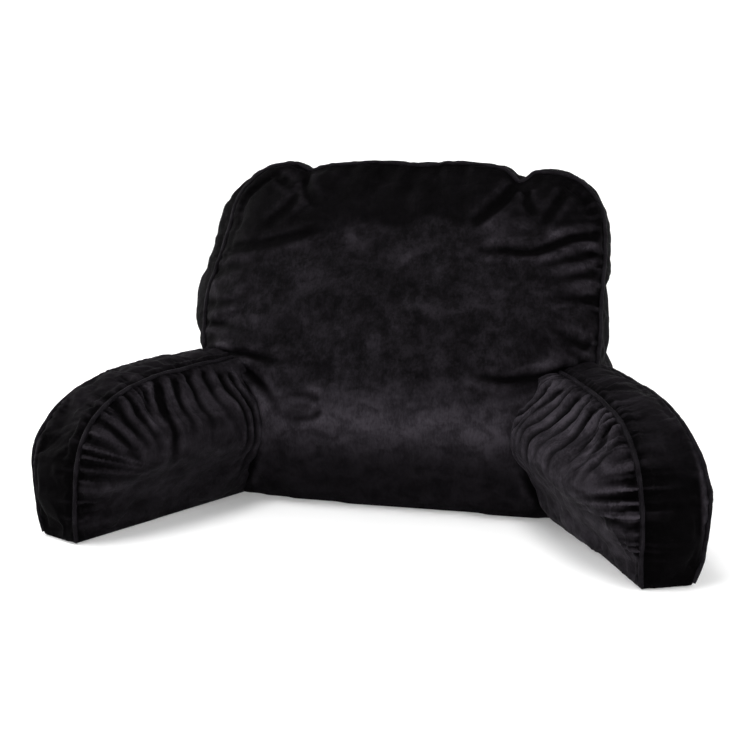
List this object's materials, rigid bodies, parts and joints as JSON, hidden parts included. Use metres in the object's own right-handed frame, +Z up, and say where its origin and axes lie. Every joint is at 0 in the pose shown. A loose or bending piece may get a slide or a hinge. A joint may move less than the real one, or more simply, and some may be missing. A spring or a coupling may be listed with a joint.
{
  "type": "lumbar support cushion",
  "caption": "Bed-rest lumbar cushion: a wedge back with two splayed arms, a piped velour cover, a zip and a carry handle.",
  "frame": {"origin": "the middle of the bounding box, on the surface the cushion stands on", "axes": "+X across the back towards the right arm as a viewer facing the seat sees it, +Y from the seat towards the rear panel, +Z up"},
  "size_m": [0.8486, 0.4716, 0.4626],
  "materials": {
    "velour": "black velour with a short brushed pile",
    "piping": "velour-covered cord",
    "handle": "sewn velour strap",
    "liner": "unbleached spun-bonded cloth",
    "foam": "shredded polyurethane foam",
    "zip_tape": "woven polyester tape",
    "zip_coil": "moulded polyester coil",
    "zip_metal": "black lacquered zinc"
  },
  "bodies": {
    "cushion": {"back_front_panel": "velour", "arm_left_baffle": "velour", "arm_right_baffle": "velour", "back_boxing_strip": "velour", "back_rear_upper_panel": "velour", "back_rear_lower_panel": "velour", "back_base_panel": "velour", "back_front_welt": "piping", "back_rear_welt": "piping", "liner_back": "liner", "fill_back": "foam", "arm_left_inner_panel": "velour", "arm_left_gusset": "velour", "arm_left_outer_panel": "velour", "arm_left_base_panel": "velour", "arm_left_inner_welt": "piping", "arm_left_outer_welt": "piping", "liner_arm_left": "liner", "fill_arm_left": "foam", "handle_anchor_left": "handle", "arm_right_inner_panel": "velour", "arm_right_gusset": "velour", "arm_right_outer_panel": "velour", "arm_right_base_panel": "velour", "arm_right_inner_welt": "piping", "arm_right_outer_welt": "piping", "liner_arm_right": "liner", "fill_arm_right": "foam", "handle_anchor_right": "handle", "zipper_tape_upper": "zip_tape", "zipper_tape_lower": "zip_tape", "zipper_coil_upper": "zip_coil", "zipper_coil_lower": "zip_coil", "zipper_top_stop_upper": "zip_coil", "zipper_top_stop_lower": "zip_coil", "zipper_bottom_stop": "zip_coil"},
    "zipper_slider": {"zipper_slider": "zip_metal"},
    "zipper_pull": {"zipper_pull": "zip_metal"},
    "carry_handle": {"carry_handle": "handle"}
  },
  "joints": [
    {"name": "zipper_slide", "type": "slide", "parent": "cushion", "child": "zipper_slider", "axis": [-1, 0, 0], "range_m": [0, 0.394]},
    {"name": "zipper_pull_hinge", "type": "hinge", "parent": "zipper_slider", "child": "zipper_pull", "pos_m": [0.196, 0.22939, 0.06], "axis": [0, 0, -1], "range_deg": [0, 170]},
    {"name": "handle_swing", "type": "hinge", "parent": "cushion", "child": "carry_handle", "pos_m": [0, 0.23184, 0.432], "axis": [1, 0, 0], "range_deg": [0, 165]}
  ]
}
